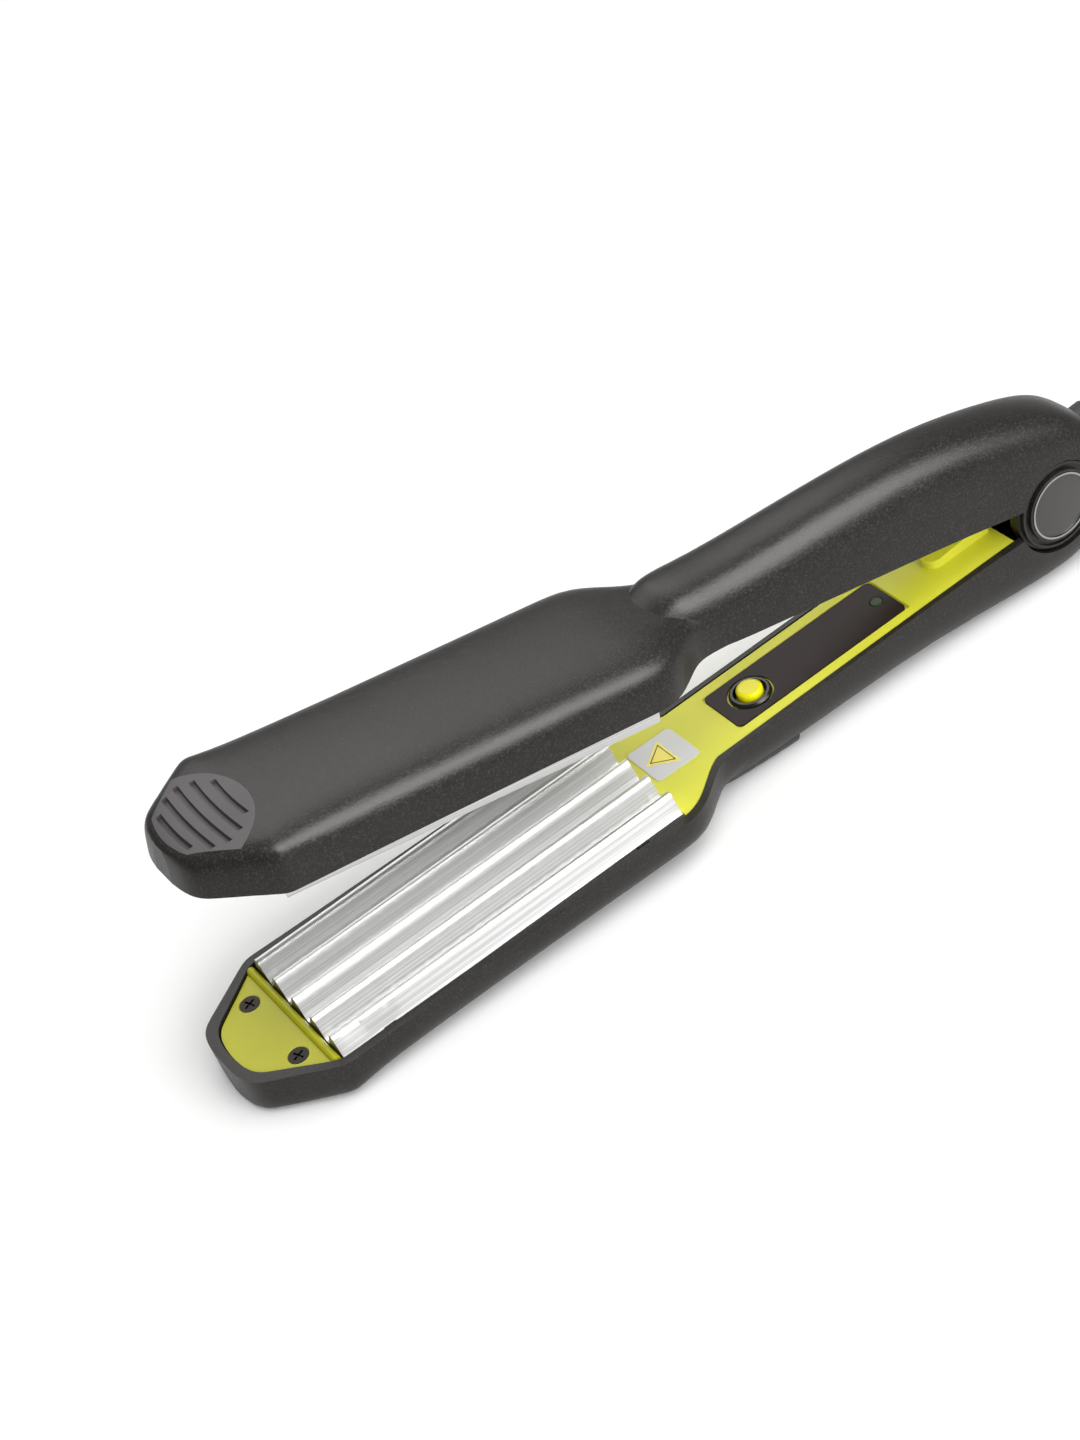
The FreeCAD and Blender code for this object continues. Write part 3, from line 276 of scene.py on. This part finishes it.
dressed = {
    soft_touch: ["lower_shell", "upper_shell", "hinge_cap_near", "hinge_cap_far"],
    lime: ["lower_liner", "upper_liner"],
    lime_satin: ["lower_end_plate", "upper_end_plate"],
    taupe: ["lower_tip_pad", "upper_tip_pad"],
    panel_black: ["control_panel"],
    gloss_black: ["button_bezel", "tact_switch"],
    button_yellow: ["power_button"],
    cap_grey: ["hinge_cap_disc_near", "hinge_cap_disc_far"],
    polished_ring: ["hinge_cap_ring_near", "hinge_cap_ring_far"],
    rubber: ["strain_relief", "internal_leads"],
    plug_black: ["plug_body"],
    carrier_black: ["lower_plate_carrier", "upper_plate_carrier", "cord_clamp"],
    lens_green: ["led_lens", "led"],
    board_green: ["control_board"],
    ceramic: ["lower_heater", "upper_heater", "thermal_fuse"],
    mica: ["lower_insulator", "upper_insulator"],
    label_silver: ["caution_label"],
    brushed_lower: ["lower_crimp_plate"],
    brushed_upper: ["upper_crimp_plate"],
    dark_steel: ["lower_end_screws", "upper_end_screws", "lower_liner_screw", "upper_liner_screw",
                 "clamp_screws"],
    bright_steel: ["hinge_pin", "hinge_spring", "hinge_washers", "lower_heater_clip", "upper_heater_clip",
                   "lower_thermistor", "upper_thermistor"],
    pin_nickel: ["plug_pins"],
}


def softened(obj):
    """Small rounded edges that catch the light."""
    bevel = obj.modifiers.new("edges", "BEVEL")
    bevel.width = EDGE_ROUND
    bevel.segments = 2
    bevel.limit_method = "ANGLE"
    bevel.angle_limit = EDGE_ANGLE
    bevel.harden_normals = True


for material, names in dressed.items():
    for name in names:
        nodes[name].data.materials.clear()
        nodes[name].data.materials.append(material)
for name in ("lower_shell", "upper_shell", "lower_liner"):
    softened(nodes[name])


# ======================================================================
# warning triangle on the label, without any sign or words in it
# ======================================================================

def rim_depth(d):
    """Depth of the lower arm's rim under its mid plane, at a distance from the hinge."""
    share = (RIM_TIP[0] - d) / (RIM_TIP[0] - RIM_REAR[0])
    return RIM_TIP[1] + (RIM_REAR[1] - RIM_TIP[1]) * share


def sticker(name, rings, low, high, material):
    """Thin flat piece over the label, from one closed outline of (d, y), or between two."""
    placing = Matrix.Translation(HINGE) @ Matrix.Rotation(LOWER_TURN, 4, "Y")
    vertices = []
    for lift in (low, high):
        for ring in rings:
            for d, y in ring:
                vertices.append(placing @ (Vector((-d, y, lift - rim_depth(d))) * MM))
    n = len(rings[0])
    layer = n * len(rings)
    faces = []
    for i in range(n):
        j = (i + 1) % n
        faces.append((i, j, layer + j, layer + i))
        if len(rings) == 2:
            faces.append((n + j, n + i, layer + n + i, layer + n + j))
            faces.append((i, n + i, n + j, j))
            faces.append((layer + i, layer + j, layer + n + j, layer + n + i))
    if len(rings) == 1:
        faces += [tuple(reversed(range(n))), tuple(range(n, 2 * n))]
    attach(meshed(name, vertices, faces, material), "lower_arm")


def shrunk(outline, share):
    """The outline, drawn in towards its middle."""
    middle = [sum(point[k] for point in outline) / len(outline) for k in (0, 1)]
    return [tuple(m + share * (c - m) for c, m in zip(point, middle)) for point in outline]


sticker("label_triangle", [LABEL_TRIANGLE], TRIANGLE_LOW, TRIANGLE_HIGH, warning_yellow)
line_rings = [shrunk(LABEL_TRIANGLE, LINE_OUTER), shrunk(LABEL_TRIANGLE, LINE_INNER)]
sticker("label_triangle_line", line_rings, LINE_LOW, LINE_HIGH, panel_black)


# ======================================================================
# cord
# ======================================================================

def shift_starts():
    """Turns wound when the cord begins to move over to each next place in the hank."""
    moves = len(TURN_PLACES) - 1
    whole = SHIFT + (moves - 1) * SHIFT_LEAD
    return [k + 1 - whole + (moves - 1 - k) * SHIFT_LEAD for k in range(moves)]


def hank_points():
    """Control points of the hank's turns: along one side, round the end, back, and round again."""
    starts = shift_starts()
    per_turn = 4 * SIDE_POINTS
    points = []
    for i in range(int(HANK_TURNS * per_turn) + 1):
        shifted = sum(smoothstep((i / per_turn - start) / SHIFT) for start in starts)
        k = min(int(shifted), len(TURN_PLACES) - 2)
        column, layer = [a + (b - a) * (shifted - k) for a, b in zip(TURN_PLACES[k], TURN_PLACES[k + 1])]
        half = INNER_TURN + COLUMN_STEP * column
        stretch, step = divmod(i % per_turn, SIDE_POINTS)
        way = -1 if stretch < 2 else 1
        part = step / SIDE_POINTS
        if stretch in (0, 2):
            along = 2 * part - 1
            half -= HANK_WAIST * math.cos(math.pi * along / 2) ** 2
            x, y = -way * HANK_HALF_RUN * along, way * half
        else:
            turned = math.pi * (part - 0.5)
            x = -way * (HANK_HALF_RUN + half * math.cos(turned))
            y = -way * half * math.sin(turned)
        points.append((HANK_X + x, y, CORD_ROUTE[-1][2] + LAYER_STEP * layer))
    return points


def nurbs_tube(name, points, radius):
    """Round tube along a smooth curve that the points, in millimetres, draw towards them."""
    curve = bpy.data.curves.new(name, "CURVE")
    curve.dimensions = "3D"
    curve.resolution_u = 4
    curve.bevel_depth = radius
    curve.bevel_resolution = 6
    spline = curve.splines.new("NURBS")
    spline.points.add(len(points) - 1)
    for target, point in zip(spline.points, points):
        target.co = (*[c * MM for c in point], 1.0)
    spline.order_u = 3
    spline.use_endpoint_u = True
    return arranged(name, curve)


def strap(name):
    """Band round the hank's waist, a rounded rectangle seen along the hank."""
    profile = []
    for sy, sz, start in ((1, 1, 0), (-1, 1, 90), (-1, -1, 180), (1, -1, 270)):
        centre_y = sy * (TIE_HALF_WIDTH - TIE_CORNER)
        centre_z = TIE_HIGH - TIE_CORNER if sz > 0 else TIE_LOW + TIE_CORNER
        for step in range(CORNER_STEPS + 1):
            turn = math.radians(start + 90 * step / CORNER_STEPS)
            profile.append((centre_y, centre_z, math.cos(turn), math.sin(turn)))
    vertices = []
    inner = TIE_CORNER - TIE_THICK
    for y, z, out_y, out_z in profile:
        for end, r in ((-1, TIE_CORNER), (1, TIE_CORNER), (1, inner), (-1, inner)):
            x = HANK_X + end * TIE_LENGTH / 2
            vertices.append([c * MM for c in (x, y + r * out_y, z + r * out_z)])
    count = len(profile)
    faces = []
    for i in range(count):
        a, b = 4 * i, 4 * ((i + 1) % count)
        for k in range(4):
            n = (k + 1) % 4
            faces.append((a + k, a + n, b + n, b + k))
    return meshed(name, vertices, faces, tie_black)


mains_cord = nurbs_tube("mains_cord", CORD_ROUTE + hank_points()[1:] + CORD_TAIL, CORD_D / 2 * MM)
mains_cord.data.materials.append(rubber)
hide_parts("cord", "cord_hank")
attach(mains_cord, "lower_arm")
cord_tie = strap("cord_tie")
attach(cord_tie, "lower_arm")


# ======================================================================
# floor, light and camera
# ======================================================================

FLOOR_REACH = 6.0
FLOOR_DROP = 0.05 * MM
WORLD_STRENGTH = 0.30

# ---- camera: angle, height and roll of the view, and its distance from the point it looks at ----
CAMERA_AZIMUTH = math.radians(-23.635)
CAMERA_ELEVATION = math.radians(39.488)
CAMERA_ROLL = math.radians(-17.966)
CAMERA_DISTANCE = 0.71194
CAMERA_TARGET = Vector((-0.00887, 0.02057, 0.01427))


def floor():
    """Plain pale floor just under the part."""
    material, tree, shader = new_material("floor_white")
    tone = ranged(tree, noise(tree, object_coordinates(tree), FLOOR_PATCH), 0.0, 1.0)
    tree.links.new(mixed(tree, tone, (0.93, 0.93, 0.93), (0.90, 0.90, 0.90)), shader.inputs["Base Color"])
    shader.inputs["Roughness"].default_value = 0.9
    shader.inputs["Specular IOR Level"].default_value = 0.1
    corners = [(FLOOR_REACH * x, FLOOR_REACH * y, 0) for x, y in ((-1, -1), (1, -1), (1, 1), (-1, 1))]
    obj = meshed("floor", corners, [(0, 1, 2, 3)], material)
    obj.location.z = -FLOOR_DROP
    return obj


def softbox(name, place, aim, width, height, power):
    """Rectangular area light at a place, turned to the point it is aimed at."""
    light = bpy.data.lights.new(name, "AREA")
    light.shape = "RECTANGLE"
    light.size = width
    light.size_y = height
    light.energy = power
    obj = arranged(name, light)
    obj.location = place
    obj.rotation_euler = (Vector(aim) - Vector(place)).to_track_quat("-Z", "Y").to_euler()
    return obj


overhead = softbox("softbox_overhead", (0.35, -0.40, 1.50), (0.0, 0.0, 0.0), 2.4, 2.4, 42.0)
overhead.visible_glossy = False
edge_light = softbox("softbox_edge", (0.29, -0.40, 0.78), (0.0, 0.0, 0.03), 0.75, 0.72, 26.0)
edge_light.visible_diffuse = False
back_light = softbox("softbox_back", (0.18, 0.76, 0.78), (0.0, 0.0, 0.02), 0.9, 0.45, 6.0)
back_light.visible_diffuse = False
front_fill = softbox("softbox_front", (0.10, -1.10, 0.45), (0.05, 0.0, 0.02), 1.2, 0.6, 9.0)
front_fill.visible_glossy = False
floor()

world = bpy.data.worlds.new("studio")
world.use_nodes = True
world.node_tree.nodes["Background"].inputs["Color"].default_value = (1.0, 1.0, 1.0, 1.0)
world.node_tree.nodes["Background"].inputs["Strength"].default_value = WORLD_STRENGTH
bpy.context.scene.world = world
bpy.context.scene.view_settings.view_transform = "Standard"

back = Vector((math.sin(CAMERA_AZIMUTH) * math.cos(CAMERA_ELEVATION),
               -math.cos(CAMERA_AZIMUTH) * math.cos(CAMERA_ELEVATION),
               math.sin(CAMERA_ELEVATION)))
level_right = (-back).cross(Vector((0, 0, 1))).normalized()
level_up = level_right.cross(-back)
right = level_right * math.cos(CAMERA_ROLL) + level_up * math.sin(CAMERA_ROLL)
up = level_up * math.cos(CAMERA_ROLL) - level_right * math.sin(CAMERA_ROLL)

lens = bpy.data.cameras.new("camera")
lens.lens = 72.6
lens.shift_x = -0.0458
lens.shift_y = 0.0027
lens.clip_start = 0.02
camera = arranged("camera", lens)
camera.matrix_world = Matrix.Translation(CAMERA_TARGET + back * CAMERA_DISTANCE) @ Matrix(
    [[right[i], up[i], back[i], 0.0] for i in range(3)] + [[0.0, 0.0, 0.0, 1.0]])
bpy.context.scene.camera = camera
